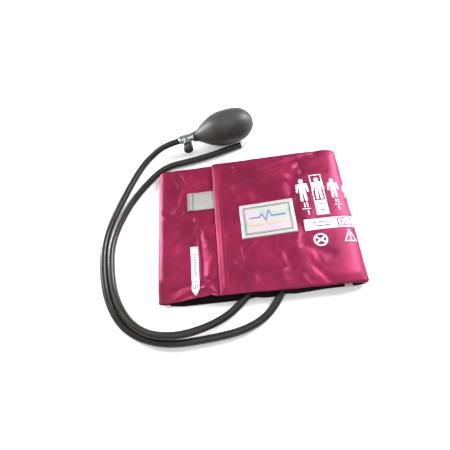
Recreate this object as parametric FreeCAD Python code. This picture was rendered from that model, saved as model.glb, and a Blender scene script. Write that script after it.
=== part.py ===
"""Blood pressure cuff, rolled flat, with its two rubber tubes, air release valve and hand bulb.

Units are millimetres.  +X runs along the fold, +Y runs across the cuff, +Z is up.
The origin is the middle of the face that the rolled cuff rests on.
"""
import FreeCAD, Part
import math
import os

from FreeCAD import Placement, Rotation, Vector

# Cuff: plan size of the roll
cuff_width = 170.0
roll_length = 220.0
corner_radius = 6.0
half_width = cuff_width / 2
half_length = roll_length / 2

# Cuff: thickness of the cloth layers
shell_thickness = 0.8
bladder_thickness = 1.4
lining_thickness = 0.6
flap_shell_thickness = 1.0
flap_lining_thickness = 0.5
fastener_thickness = 0.6
arm_gap = 5.6
layer_clearance = 0.3
seam_gap = 0.3

# Cuff: heights of the layers, from the table up
bladder_bottom = shell_thickness
base_lining_bottom = bladder_bottom + bladder_thickness
base_top = base_lining_bottom + lining_thickness
inner_bottom = base_top + arm_gap
inner_shell_bottom = inner_bottom + flap_lining_thickness
inner_top = inner_shell_bottom + flap_shell_thickness
loop_top = inner_top + fastener_thickness
hook_bottom = loop_top + layer_clearance
outer_bottom = hook_bottom + fastener_thickness
outer_shell_bottom = outer_bottom + flap_lining_thickness
outer_top = outer_shell_bottom + flap_shell_thickness

# Folds: half rings whose axes are the hinge lines of the flaps
right_fold_radius = outer_top / 2
left_fold_radius = inner_top / 2
right_fold_x = half_length - right_fold_radius
left_fold_x = left_fold_radius - half_length

# Flaps: where they end
outer_flap_edge_x = -42.0
inner_flap_length = 122.0
hem_width = 9.0
edge_margin = 10.0

# Hook and loop
hook_start_x = -32.0
hook_length = 50.0
loop_start_x = -27.0
loop_length = 40.0

# Bladder
bladder_centre_x = 3.0
bladder_length = 190.0
bladder_front_y = -70.0
bladder_back_y = 74.0
bladder_wall = 0.4
bladder_corner = 14.0

# Trim
label_length = 61.0
label_width = 44.0
label_centre = Vector(17.0, -0.5, 0)
label_thickness = 0.25
print_thickness = 0.12
strap_width = 26.0
strap_length = 42.0
strap_start_x = -74.0
strap_centre_y = 36.0
strap_thickness = 0.5
strap_fold_length = 6.0
tag_width = 9.0
tag_length = 50.0
tag_point = 6.0
tag_centre_x = -68.0
tag_back_y = -24.0
index_width = 8.0
index_length = 26.0
index_centre_x = 90.0
stitch_length = 2.6
stitch_pitch = 4.0
stitch_width = 0.45
stitch_height = 0.12

# Tubes
tube_radius = 4.0
tube_bore = 2.0
spigot_radius = 1.95
spigot_bore = 1.1
spigot_length = 10.0
port_length = 8.0
notch_clearance = 0.4

# Bulb and valve, laid out along one axis that starts at the bulb's neck and runs to its tail
neck = Vector(-61.7, 128.6, 17.7)
bulb_heading = 5.45
bulb_tilt = 6.15
bulb_end = 78.0
bulb_profile = [(0, 7.0), (5, 7.3), (14, 12.8), (28, 20.0), (43, 21.9), (57, 20.6), (68, 16.0), (75, 9.6),
                (bulb_end, 4.8)]
bulb_cavity = [(16, 10.5), (28, 17.8), (43, 19.8), (58, 17.6), (67, 11.8)]
neck_bore = 5.0
neck_length = 12.0
tail_bore = 4.2
valve_length = 20.0
valve_radius = 4.6
air_bore = 1.4
screw_station = -9.5
collar_radius = 5.4
collar_length = 5.2
stem_radius = 1.7
running_clearance = 0.05
knob_radius = 6.0
knob_length = 8.4
knob_flutes = 12
needle_radius = 1.2
thread_pitch = 0.7
ball_radius = 1.6
ball_chamber_radius = 1.95
ball_travel = 0.8
clip_thickness = 0.8
clip_width = 5.0
connector_collar_length = 2.8
connector_tip_length = 6.0
connector_tip_radius = 2.0


def beside_valve(station):
    """Point on the axis of bulb and valve, a distance along it from the bulb's neck."""
    heading = math.radians(bulb_heading)
    tilt = math.radians(bulb_tilt)
    along = Vector(math.cos(tilt) * math.cos(heading), math.cos(tilt) * math.sin(heading), math.sin(tilt))
    return neck + along * station


# Route of each tube's centre line, from the bladder to its far end
gauge_route = [
    Vector(-6, -74, 4),
    Vector(-22, -94, 4),
    Vector(-52, -112, 4),
    Vector(-94, -121, 4),
    Vector(-129, -104, 4),
    Vector(-154, -75, 4),
    Vector(-167, -38, 4),
    Vector(-167, 0, 4),
    Vector(-150, 42, 4),
    Vector(-130, 72, 4),
    Vector(-105, 99, 4),
    Vector(-66, 101, 4),
    Vector(-33, 108, 4),
    Vector(-3, 116.5, 4),
]
bulb_route = [
    Vector(26, -75, 4),
    Vector(14, -100, 4),
    Vector(-16, -121, 4),
    Vector(-60, -129, 4),
    Vector(-104, -131, 4),
    Vector(-143, -111, 4),
    Vector(-165, -76, 4),
    Vector(-176, -34, 4),
    Vector(-176, 6, 4),
    Vector(-160, 48, 4),
    Vector(-139, 94, 4),
    Vector(-123, 115, 5.5),
    beside_valve(-2 * valve_length),
    beside_valve(-valve_length),
]


# Building blocks

def block(x0, x1, y0, y1, z0, z1):
    """Box between two corners."""
    return Part.makeBox(x1 - x0, y1 - y0, z1 - z0, Vector(x0, y0, z0))


def rod(start, direction, length, radius):
    """Cylinder from a point along a direction."""
    return Part.makeCylinder(radius, length, start, direction)


def prism(outline, z0, z1):
    """Straight-sided solid over a closed outline of plan points."""
    corners = [Vector(x, y, z0) for x, y in outline]
    face = Part.Face(Part.makePolygon(corners + corners[:1]))
    return face.extrude(Vector(0, 0, z1 - z0))


def rounded_plan(half_x, half_y, radius, z0, z1):
    """Box about the Z axis whose upright edges are rounded."""
    solid = block(-half_x, half_x, -half_y, half_y, z0, z1)
    uprights = [edge for edge in solid.Edges if abs(edge.tangentAt(edge.FirstParameter).z) > 0.99]
    return solid.makeFillet(radius, uprights)


def turned(points, smooth=False):
    """Solid of revolution about X from (station, radius) points, closed along the axis."""
    outline = [Vector(station, radius, 0) for station, radius in points]
    if smooth:
        curve = Part.BSplineCurve()
        curve.interpolate(outline)
        edges = [curve.toShape()]
    else:
        edges = [Part.makeLine(a, b) for a, b in zip(outline, outline[1:])]
    first = Vector(outline[0].x, 0, 0)
    last = Vector(outline[-1].x, 0, 0)
    edges.append(Part.makeLine(outline[-1], last))
    edges.append(Part.makeLine(last, first))
    edges.append(Part.makeLine(first, outline[0]))
    face = Part.Face(Part.Wire(edges))
    return face.revolve(Vector(0, 0, 0), Vector(1, 0, 0), 360)


def half_ring(centre_x, radius, thickness, side):
    """Half ring about a line along Y, open towards the middle of the roll, at its outer radius."""
    axis_z = right_fold_radius if side > 0 else left_fold_radius
    start = Vector(centre_x, -half_width, axis_z)
    ring = rod(start, Vector(0, 1, 0), cuff_width, radius)
    ring = ring.cut(rod(start, Vector(0, 1, 0), cuff_width, radius - thickness))
    if side > 0:
        keep = block(centre_x, centre_x + 2 * radius, -half_width, half_width, -radius, 3 * radius)
    else:
        keep = block(centre_x - 2 * radius, centre_x, -half_width, half_width, -radius, 3 * radius)
    return in_plan(ring.common(keep))


def in_plan(shape):
    """Trims a cuff layer to the rounded plan of the roll."""
    return shape.common(rounded_plan(half_length, half_width, corner_radius, -1, 2 * outer_top))


def at_neck(shape):
    """Moves a shape built along X from the origin to the axis of bulb and valve."""
    turn = Rotation(Vector(0, 0, 1), bulb_heading).multiply(Rotation(Vector(0, 1, 0), -bulb_tilt))
    placed = shape.copy()
    placed.Placement = Placement(neck, turn).multiply(placed.Placement)
    return placed


# Tubes

def bend_radius(before, corner, after):
    """Radius of the arc that rounds a corner of a route, and the distance it starts from the corner."""
    incoming = corner - before
    outgoing = after - corner
    reach = 0.45 * min(incoming.Length, outgoing.Length)
    turn = incoming.getAngle(outgoing)
    return reach / math.tan(turn / 2), reach


def route_wire(route):
    """Straight runs joined by tangent arcs through a list of points."""
    edges = []
    at = route[0]
    for before, corner, after in zip(route, route[1:], route[2:]):
        radius, reach = bend_radius(before, corner, after)
        incoming = (corner - before).normalize()
        outgoing = (after - corner).normalize()
        arc_start = corner - incoming * reach
        arc_end = corner + outgoing * reach
        inward = (outgoing - incoming).normalize()
        centre_distance = math.hypot(radius, reach)
        arc_middle = corner + inward * (centre_distance - radius)
        edges.append(Part.LineSegment(at, arc_start).toShape())
        edges.append(Part.Arc(arc_start, arc_middle, arc_end).toShape())
        at = arc_end
    edges.append(Part.LineSegment(at, route[-1]).toShape())
    return Part.Wire(edges)


def sweep(route, radius):
    """Round rod along a route."""
    path = route_wire(route)
    start_direction = (route[1] - route[0]).normalize()
    section = Part.Wire(Part.Circle(route[0], start_direction, radius).toShape())
    return path.makePipeShell([section], True, False)


def tube(name, route):
    """Hollow rubber tube along a route, with its radii and volume printed."""
    shape = sweep(route, tube_radius).cut(sweep(route, tube_bore))
    length = route_wire(route).Length
    expected = math.pi * (tube_radius ** 2 - tube_bore ** 2) * length
    corners = zip(route, route[1:], route[2:])
    radii = [round(bend_radius(*corner)[0]) for corner in corners]
    print(name, "length", round(length, 1), "volume ratio", round(shape.Volume / expected, 4), "radii", radii)
    return shape


def along_first_run(route, start, length, radius):
    """Cylinder in line with a route's first run, from a distance before or past its first point."""
    direction = (route[1] - route[0]).normalize()
    return rod(route[0] + direction * start, direction, length, radius)


def bladder_port(route):
    """Moulded rubber boss on the bladder's edge, with the spigot that its tube is pushed on."""
    boss = along_first_run(route, -port_length, port_length, tube_radius)
    spigot = along_first_run(route, 0, spigot_length, spigot_radius)
    air_way = along_first_run(route, -port_length / 2, port_length + spigot_length, spigot_bore)
    return boss.fuse(spigot).cut(air_way)


def port_notch(route, clearance):
    """Room that a port and its tube take out of the cuff's layers."""
    return along_first_run(route, -port_length - clearance, 4 * port_length, tube_radius + clearance)


def notched(shape, clearance=notch_clearance):
    """Cuff layer with the room for both tubes taken out of its front edge."""
    for route in (gauge_route, bulb_route):
        shape = shape.cut(port_notch(route, clearance))
    return shape


# Base of the cuff

def base_panel(z0, z1):
    """Flat base layer between the two folds."""
    return block(left_fold_x, right_fold_x, -half_width, half_width, z0, z1)


def base_shell():
    return notched(base_panel(0, shell_thickness))


def base_lining():
    return notched(base_panel(base_lining_bottom, base_top))


def bladder():
    """Flat rubber bag: two walls with a thin air space between them."""
    depth = bladder_back_y - bladder_front_y
    top = bladder_bottom + bladder_thickness
    outer = rounded_plan(bladder_length / 2, depth / 2, bladder_corner, bladder_bottom, top)
    air = rounded_plan(bladder_length / 2 - 4, depth / 2 - 8, bladder_corner - 4,
                       bladder_bottom + bladder_wall, top - bladder_wall)
    bag = outer.cut(air)
    bag.translate(Vector(bladder_centre_x, (bladder_back_y + bladder_front_y) / 2, 0))
    return notched(bag, 0.05)


def index_tape():
    """Woven tape on the lining whose end shows in the gap at the front."""
    return block(index_centre_x - index_width / 2, index_centre_x + index_width / 2,
                 -half_width, index_length - half_width, base_top, base_top + 0.35)


def right_fold_shell():
    return half_ring(right_fold_x, right_fold_radius, shell_thickness, 1)


def right_fold_lining():
    return half_ring(right_fold_x, right_fold_radius - shell_thickness - 0.6, lining_thickness, 1)


def left_fold_shell():
    return half_ring(left_fold_x, left_fold_radius, shell_thickness, -1)


def left_fold_lining():
    return half_ring(left_fold_x, left_fold_radius - shell_thickness - 0.6, lining_thickness, -1)


# Outer flap

def outer_panel(z0, z1):
    """Layer of the flap that comes over from the right fold."""
    return block(outer_flap_edge_x, right_fold_x - seam_gap, -half_width, half_width, z0, z1)


def outer_shell():
    return outer_panel(outer_shell_bottom, outer_top)


def outer_lining():
    return outer_panel(outer_bottom, outer_shell_bottom)


def hook_strip():
    """Hook side of the closure, under the outer flap."""
    return block(hook_start_x, hook_start_x + hook_length, edge_margin - half_width,
                 half_width - edge_margin, hook_bottom, outer_bottom)


def hem_stitching():
    """Row of lock stitches that holds the hem along the outer flap's free edge."""
    count = int((cuff_width - 2 * edge_margin / 2) / stitch_pitch)
    centre_x = outer_flap_edge_x + hem_width
    stitches = []
    for index in range(count):
        start_y = (index - count / 2) * stitch_pitch
        stitches.append(block(centre_x - stitch_width / 2, centre_x + stitch_width / 2,
                              start_y, start_y + stitch_length, outer_top, outer_top + stitch_height))
    return Part.makeCompound(stitches)


def label():
    """Woven satin label sewn on the outer flap."""
    patch = rounded_plan(label_length / 2, label_width / 2, 1.0, outer_top, outer_top + label_thickness)
    patch.translate(label_centre)
    return patch


def label_motif():
    """Plain pulse line between two bars, printed on the label."""
    z0 = outer_top + label_thickness
    z1 = z0 + print_thickness
    half_line = 0.7
    pulse = [(-20, 0), (-8, 0), (-5, 5), (-1, -7), (3, 10), (6, 0), (20, 0)]
    upper = [(x, y + half_line) for x, y in pulse]
    lower = [(x, y - half_line) for x, y in reversed(pulse)]
    pieces = [prism(upper + lower, z0, z1)]
    for bar_y in (-14.0, 14.0):
        pieces.append(block(-18, 18, bar_y - 1, bar_y + 1, z0, z1))
    motif = Part.makeCompound(pieces)
    motif.translate(label_centre)
    return motif


def figure(centre_x, foot_y, height):
    """Printed standing figure: a round head over a body with two arms and two legs."""
    z0 = outer_top
    z1 = outer_top + print_thickness
    unit = height / 10.0
    head = rod(Vector(centre_x, foot_y + 9.0 * unit, z0), Vector(0, 0, 1), print_thickness, 1.0 * unit)
    body = block(centre_x - unit, centre_x + unit, foot_y + 3.9 * unit, foot_y + 7.6 * unit, z0, z1)
    pieces = [head, body]
    for side in (-1, 1):
        leg_x = centre_x + side * 0.58 * unit
        pieces.append(block(leg_x - 0.4 * unit, leg_x + 0.4 * unit, foot_y, foot_y + 3.8 * unit, z0, z1))
        arm_x = centre_x + side * 1.5 * unit
        pieces.append(block(arm_x - 0.3 * unit, arm_x + 0.3 * unit, foot_y + 4.2 * unit,
                            foot_y + 7.6 * unit, z0, z1))
    return pieces


def frame_outline(x0, x1, y0, y1, line):
    """Printed rectangular outline."""
    z0 = outer_top
    z1 = outer_top + print_thickness
    outside = block(x0, x1, y0, y1, z0, z1)
    return outside.cut(block(x0 + line, x1 - line, y0 + line, y1 - line, z0 - 1, z1 + 1))


def size_chart():
    """White print: figures in a row, the marked size, a band of boxes and a round mark."""
    z0 = outer_top
    z1 = outer_top + print_thickness
    pieces = figure(59, 14, 29) + figure(79.5, 16, 29) + figure(96, 15, 25)
    pieces.append(frame_outline(72.5, 86.5, 13.2, 47.5, 0.8))
    pieces.append(block(72.5, 86.5, -5, 12.2, z0, z1))
    pieces.append(block(56, 90, -22, -7.5, z0, z1))
    pieces.append(frame_outline(91, 101.5, -22, -7.5, 0.8))
    ring = rod(Vector(70, -33, z0), Vector(0, 0, 1), print_thickness, 7.6)
    pieces.append(ring.cut(rod(Vector(70, -33, z0 - 1), Vector(0, 0, 1), 3, 6.0)))
    for bar_y in (-35.4, -31.8):
        pieces.append(block(66, 74, bar_y, bar_y + 1.2, z0, z1))
    return Part.makeCompound(pieces)


# Inner flap

def inner_panel(z0, z1):
    """Layer of the flap that comes over from the left fold and lies under the outer one."""
    return block(left_fold_x + seam_gap, left_fold_x + inner_flap_length, -half_width, half_width, z0, z1)


def inner_shell():
    return inner_panel(inner_shell_bottom, inner_top)


def inner_lining():
    return inner_panel(inner_bottom, inner_shell_bottom)


def loop_panel():
    """Loop side of the closure, on top of the inner flap."""
    return block(loop_start_x, loop_start_x + loop_length, edge_margin - half_width,
                 half_width - edge_margin, inner_top, loop_top)


def gauge_strap():
    """Webbing that a gauge is hooked on, with its end folded double."""
    y0 = strap_centre_y - strap_width / 2
    y1 = strap_centre_y + strap_width / 2
    web = block(strap_start_x, strap_start_x + strap_length, y0, y1, inner_top, inner_top + strap_thickness)
    turned_end = block(strap_start_x, strap_start_x + strap_fold_length, y0, y1,
                       inner_top + strap_thickness, inner_top + 2 * strap_thickness)
    return web.fuse(turned_end).removeSplitter()


def artery_tag():
    """Pointed tag that is set over the artery."""
    left = tag_centre_x - tag_width / 2
    right = tag_centre_x + tag_width / 2
    front = tag_back_y - tag_length
    outline = [(left, tag_back_y), (right, tag_back_y), (right, front), (tag_centre_x, front - tag_point),
               (left, front)]
    return prism(outline, inner_top, inner_top + label_thickness)


def artery_mark():
    """Plain bars and dot printed on the tag."""
    z0 = inner_top + label_thickness
    z1 = z0 + print_thickness
    pieces = []
    for bar_y in (-60.0, -50.0, -40.0):
        pieces.append(block(tag_centre_x - 0.8, tag_centre_x + 0.8, bar_y, bar_y + 7.5, z0, z1))
    pieces.append(rod(Vector(tag_centre_x, -70, z0), Vector(0, 0, 1), print_thickness, 2.4))
    return Part.makeCompound(pieces)


# Gauge connector

def connector():
    """White plastic connector: a barb in the tube, a collar as wide as it and a plain tip."""
    end = gauge_route[-1]
    outward = (end - gauge_route[-2]).normalize()
    barb = rod(end - outward * spigot_length, outward, spigot_length, spigot_radius)
    collar = rod(end, outward, connector_collar_length, tube_radius)
    tip_start = end + outward * connector_collar_length
    tip = rod(tip_start, outward, connector_tip_length, connector_tip_radius)
    full = spigot_length + connector_collar_length + connector_tip_length
    air_way = rod(end - outward * (spigot_length + 1), outward, full + 2, spigot_bore)
    return barb.fuse(collar).fuse(tip).cut(air_way)


# Bulb

def bulb():
    """Hollow rubber bulb with a straight bore in its neck and another in its tail."""
    outer = turned(bulb_profile, smooth=True)
    cavity = turned(bulb_cavity, smooth=True)
    neck_hole = turned([(-1, neck_bore), (bulb_cavity[0][0] + 1, neck_bore)])
    tail_hole = turned([(bulb_cavity[-1][0] - 1, tail_bore), (bulb_end + 1, tail_bore)])
    return at_neck(outer.cut(cavity).cut(neck_hole).cut(tail_hole))


# Intake valve in the bulb's tail

def intake_housing():
    """Cup pressed into the tail, with a chamber for the ball and a small inlet."""
    body = turned([(68, tail_bore - 0.03), (bulb_end - 0.5, tail_bore - 0.03), (bulb_end + 0.3, 3.4)])
    inlet = turned([(75.5, 1.0), (79, 1.0)])
    chamber = turned([(69, ball_chamber_radius), (74.4, ball_chamber_radius), (75.6, 0.95)])
    mouth = turned([(67, 3.0), (69, 3.0)])
    return at_neck(body.cut(chamber).cut(inlet).cut(mouth))


def intake_retainer():
    """Perforated disc that keeps the ball in its chamber."""
    disc = turned([(68, 2.95), (68.9, 2.95)])
    for index in range(4):
        turn = math.radians(45 + 90 * index)
        centre = Vector(67, 1.7 * math.cos(turn), 1.7 * math.sin(turn))
        disc = disc.cut(rod(centre, Vector(1, 0, 0), 3, 0.6))
    return at_neck(disc)


def intake_ball():
    ball = Part.makeSphere(ball_radius, Vector(72.5, 0, 0))
    return at_neck(ball)


# Valve between tube and bulb

def valve_body():
    """Turned barrel with a barb for the tube, a spigot for the bulb and a side bore for the screw."""
    barrel = turned([
        (-valve_length - spigot_length, spigot_radius),
        (-valve_length, spigot_radius),
        (-valve_length, 3.6),
        (-valve_length + 1.0, 4.4),
        (-valve_length + 3.0, 4.4),
        (-valve_length + 3.0, valve_radius),
        (-1.4, valve_radius),
        (-1.4, 6.4),
        (-0.05, 6.4),
        (-0.05, neck_bore - 0.03),
        (neck_length - 1, neck_bore - 0.03),
        (neck_length, neck_bore - 0.8),
    ])
    boss = rod(Vector(screw_station, 0, 0), Vector(0, -1, 0), valve_radius + 0.8, collar_radius - 1.2)
    shape = barrel.fuse(boss)
    barb_start = -valve_length - spigot_length
    shape = shape.cut(turned([(barb_start - 1, spigot_bore), (screw_station, spigot_bore)]))
    shape = shape.cut(turned([(screw_station, air_bore), (6.0, air_bore)]))
    chamber = turned([(5.0, 1.0), (6.2, ball_chamber_radius), (11.2, ball_chamber_radius)])
    shape = shape.cut(chamber).cut(turned([(11.1, 3.0), (13.0, 3.0)]))
    screw_bore = rod(Vector(screw_station, -1.6, 0), Vector(0, -1, 0), 10, stem_radius + running_clearance)
    seat = rod(Vector(screw_station, 0, 0), Vector(0, -1, 0), 3, needle_radius + running_clearance)
    return at_neck(shape.cut(screw_bore).cut(seat))


def neck_retainer():
    """Perforated disc in the spigot that keeps the check ball in its chamber."""
    disc = turned([(11.15, 2.95), (neck_length, 2.95)])
    for index in range(4):
        turn = math.radians(45 + 90 * index)
        centre = Vector(10, 1.7 * math.cos(turn), 1.7 * math.sin(turn))
        disc = disc.cut(rod(centre, Vector(1, 0, 0), 3, 0.6))
    return at_neck(disc)


def check_ball():
    ball = Part.makeSphere(ball_radius, Vector(8.4, 0, 0))
    return at_neck(ball)


def collar_start():
    """Distance from the valve's axis to the near face of the knurled collar."""
    return valve_radius + 0.8


def knurled_collar():
    """Chrome nut around the screw, with a knurled rim."""
    start = Vector(screw_station, -collar_start(), 0)
    nut = rod(start, Vector(0, -1, 0), collar_length, collar_radius)
    nut = nut.cut(rod(start, Vector(0, -1, 0), collar_length, stem_radius + running_clearance))
    grooves = 24
    for index in range(grooves):
        turn = 2 * math.pi * index / grooves
        centre = Vector(screw_station + collar_radius * math.cos(turn), -collar_start(),
                        collar_radius * math.sin(turn))
        nut = nut.cut(rod(centre, Vector(0, -1, 0), collar_length, 0.35))
    return at_neck(nut)


def valve_needle():
    """Seat pad on the screw's end, which slides but doesn't turn."""
    pad = rod(Vector(screw_station, -1.65, 0), Vector(0, -1, 0), 1.2, needle_radius)
    return at_neck(pad)


def thumbscrew():
    """Fluted black knob on a threaded stem."""
    stem_start = 2.95
    knob_start = collar_start() + collar_length + 0.4
    stem_length = knob_start - stem_start + 1
    stem = rod(Vector(screw_station, -stem_start, 0), Vector(0, -1, 0), stem_length, stem_radius)
    shank = rod(Vector(screw_station, -knob_start, 0), Vector(0, -1, 0), 2.4, knob_radius - 2.2)
    head = rod(Vector(screw_station, -knob_start - 2.4, 0), Vector(0, -1, 0), knob_length - 2.4, knob_radius)
    rim = [edge for edge in head.Edges if abs(edge.BoundBox.YLength) < 0.01]
    head = head.makeFillet(1.0, rim)
    for index in range(knob_flutes):
        turn = 2 * math.pi * index / knob_flutes
        reach = knob_radius + 0.5
        centre = Vector(screw_station + reach * math.cos(turn), -knob_start - 2.0, reach * math.sin(turn))
        head = head.cut(rod(centre, Vector(0, -1, 0), knob_length, 1.0))
    return at_neck(stem.fuse(shank).fuse(head))


def spring_clip():
    """Sprung steel strip along the back of the valve, held by a band round its tube end."""
    band_start = 1.2 - valve_length
    band_end = 2.8 - valve_length
    outer_radius = valve_radius + clip_thickness
    band = turned([(band_start, outer_radius), (band_end, outer_radius)])
    band = band.cut(turned([(band_start - 1, valve_radius - 0.15), (band_end + 1, valve_radius - 0.15)]))
    leg = block(band_start, -2.2, valve_radius + 0.3, outer_radius + 0.3, -clip_width / 2, clip_width / 2)
    lip = block(-3.0, -2.2, valve_radius + 0.3, outer_radius + 2.2, -clip_width / 2, clip_width / 2)
    return at_neck(band.fuse(leg).fuse(lip))


def all_nodes():
    """Name and shape of each sub-part, in the order that the cuff is put together."""
    return {
        "base_shell": base_shell(),
        "base_lining": base_lining(),
        "bladder": bladder(),
        "bladder_port_gauge": bladder_port(gauge_route),
        "bladder_port_bulb": bladder_port(bulb_route),
        "index_tape": index_tape(),
        "right_fold_shell": right_fold_shell(),
        "right_fold_lining": right_fold_lining(),
        "left_fold_shell": left_fold_shell(),
        "left_fold_lining": left_fold_lining(),
        "outer_flap_shell": outer_shell(),
        "outer_flap_lining": outer_lining(),
        "hook_strip": hook_strip(),
        "hem_stitching": hem_stitching(),
        "label": label(),
        "label_motif": label_motif(),
        "size_chart": size_chart(),
        "inner_flap_shell": inner_shell(),
        "inner_flap_lining": inner_lining(),
        "loop_panel": loop_panel(),
        "gauge_strap": gauge_strap(),
        "artery_tag": artery_tag(),
        "artery_mark": artery_mark(),
        "gauge_tube": tube("gauge_tube", gauge_route),
        "bulb_tube": tube("bulb_tube", bulb_route),
        "gauge_connector": connector(),
        "bulb": bulb(),
        "intake_housing": intake_housing(),
        "intake_retainer": intake_retainer(),
        "intake_ball": intake_ball(),
        "valve_body": valve_body(),
        "neck_retainer": neck_retainer(),
        "check_ball": check_ball(),
        "knurled_collar": knurled_collar(),
        "valve_needle": valve_needle(),
        "thumbscrew": thumbscrew(),
        "spring_clip": spring_clip(),
    }


os.makedirs("parts", exist_ok=True)
for node, shape in all_nodes().items():
    shape.exportStep("parts/" + node + ".step")
    box = shape.BoundBox
    print(node, "solids", len(shape.Solids), "valid", shape.isValid(), "volume", round(shape.Volume, 1),
          "z", round(box.ZMin, 2), round(box.ZMax, 2))
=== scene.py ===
"""Looks of the blood pressure cuff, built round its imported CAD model.

Driving dimensions are in millimetres in the CAD model's frame: x along the folded cuff, y away
from the viewer, z up. The functions turn them into metres where they make a mesh.
"""

import bisect
import math

import bmesh
import bpy
from mathutils import Matrix, Vector, noise


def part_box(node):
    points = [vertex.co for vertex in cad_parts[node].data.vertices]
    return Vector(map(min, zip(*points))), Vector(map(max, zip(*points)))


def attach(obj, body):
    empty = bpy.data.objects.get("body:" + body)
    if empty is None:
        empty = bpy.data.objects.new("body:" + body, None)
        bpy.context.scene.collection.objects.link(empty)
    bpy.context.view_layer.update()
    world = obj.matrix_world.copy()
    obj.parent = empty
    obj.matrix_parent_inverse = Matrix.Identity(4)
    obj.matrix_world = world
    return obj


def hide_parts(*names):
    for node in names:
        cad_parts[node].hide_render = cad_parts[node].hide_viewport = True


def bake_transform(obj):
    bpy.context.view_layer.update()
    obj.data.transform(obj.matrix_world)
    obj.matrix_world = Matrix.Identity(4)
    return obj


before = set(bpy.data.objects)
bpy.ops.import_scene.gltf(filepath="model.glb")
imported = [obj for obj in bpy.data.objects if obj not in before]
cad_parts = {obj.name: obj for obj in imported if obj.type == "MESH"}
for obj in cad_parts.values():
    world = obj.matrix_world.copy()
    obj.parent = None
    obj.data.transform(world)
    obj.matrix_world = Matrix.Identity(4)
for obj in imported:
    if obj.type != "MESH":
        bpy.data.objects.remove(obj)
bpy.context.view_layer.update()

MM = 0.001

# Folded cuff
HALF_WIDTH = 85.0
HALF_LENGTH = 110.0
CORNER_RADIUS = 3.0
BASE_TOP = 2.8
OUTER_TOP = 12.9
INNER_TOP = 9.9
OUTER_EDGE_X = -42.0
INNER_EDGE_X = 16.9
RIGHT_FOLD_X = 103.55
RIGHT_FOLD_Z = 6.45
LEFT_FOLD_X = -105.05
LEFT_FOLD_Z = 4.95
RIGHT_SEAM_X = 99.0
LEFT_SEAM_X = -98.0
NYLON_THICKNESS = 0.7
LINING_THICKNESS = 0.5
FLOOR_GAP = 0.05
GRID_STEP = 2.2
EDGE_CURL = 2.6
LINING_DEPTH = 1.45
OUTER_HEM_COLUMNS = 5
FRONT_OVERHANG = 2.8

# Things on the flaps
LABEL_CENTRE = (17.0, -2.0)
LABEL_LENGTH = 61.0
LABEL_WIDTH = 42.5
STRAP_X = (-74.0, -32.0)
STRAP_Y = (22.0, 47.0)
TAG_CENTRE_X = -68.2
TAG_WIDTH = 8.0
TAG_BACK_Y = -25.0
TAG_SHOULDER_Y = -76.5
TAG_TIP_Y = -82.5

# Tubes, valve and bulb
TUBE_RADIUS = 4.0
NECK = Vector((-61.7, 128.6, 17.7))
BULB_HEADING = 5.45
BULB_TILT = 6.15
VALVE_LENGTH = 20.0

# Camera, in degrees, metres and millimetres of a 36 mm sensor
CAMERA_HEADING = -8.65
CAMERA_PITCH = 61.73
CAMERA_ROLL = -14.55
CAMERA_PLACE = (-0.0021, -0.1948, 0.3737)
CAMERA_LENS = 28.94

GAUGE_ROUTE = [
    (-6, -74, 4), (-22, -94, 4), (-52, -112, 6), (-94, -122, 13), (-133, -110, 8), (-157.5, -76.5, 4),
    (-166.6, -38, 4), (-167, 0, 4), (-150, 42, 4), (-129, 71, 4), (-104, 97, 4), (-66, 101, 4),
    (-33, 108, 4), (-3, 116.5, 4),
]
BULB_ROUTE = [
    (26, -75, 4), (14, -100, 4), (-16, -119, 4), (-60, -125, 4), (-105, -126.5, 4), (-144, -110.5, 4),
    (-166.5, -77, 4), (-176, -34, 4), (-176, 6, 4), (-160, 48, 4), (-139, 94, 4), (-123, 115, 5.5),
]


def smooth_step(value):
    """0 below 0, 1 above 1 and a soft rise between."""
    value = min(max(value, 0.0), 1.0)
    return value * value * (3 - 2 * value)


def steps(start, end, pitch):
    """Even places from start to end, about a pitch apart, both ends included."""
    count = max(1, round(abs(end - start) / pitch))
    return [start + (end - start) * index / count for index in range(count + 1)]


def srgb(red, green, blue):
    """Linear colour from its 0 to 255 values on a screen."""
    linear = []
    for value in (red, green, blue):
        share = value / 255
        linear.append(share / 12.92 if share < 0.04045 else ((share + 0.055) / 1.055) ** 2.4)
    return (*linear, 1.0)


# Camera, floor and light

def add_camera():
    """Camera at the photograph's place, looking down over the cuff's front edge."""
    heading = math.radians(CAMERA_HEADING)
    pitch = math.radians(CAMERA_PITCH)
    roll = math.radians(CAMERA_ROLL)
    forward = Vector((math.sin(heading) * math.cos(pitch), math.cos(heading) * math.cos(pitch),
                      -math.sin(pitch)))
    level = Vector((math.cos(heading), -math.sin(heading), 0))
    level_up = level.cross(forward)
    right = level * math.cos(roll) + level_up * math.sin(roll)
    up = level_up * math.cos(roll) - level * math.sin(roll)
    data = bpy.data.cameras.new("camera")
    data.sensor_width = 36.0
    data.lens = CAMERA_LENS
    data.clip_start = 0.01
    camera = bpy.data.objects.new("camera", data)
    camera.matrix_world = (Matrix.Translation(CAMERA_PLACE)
                           @ Matrix((right, up, -forward)).transposed().to_4x4())
    bpy.context.scene.collection.objects.link(camera)
    bpy.context.scene.camera = camera


def add_light(name, place, target, width, height, watts, colour=(1, 1, 1)):
    """Soft rectangular studio light."""
    data = bpy.data.lights.new(name, "AREA")
    data.shape = "RECTANGLE"
    data.size = width
    data.size_y = height
    data.energy = watts
    data.color = colour
    light = bpy.data.objects.new(name, data)
    direction = Vector(target) - Vector(place)
    light.rotation_euler = direction.to_track_quat("-Z", "Y").to_euler()
    light.location = place
    bpy.context.scene.collection.objects.link(light)


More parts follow.
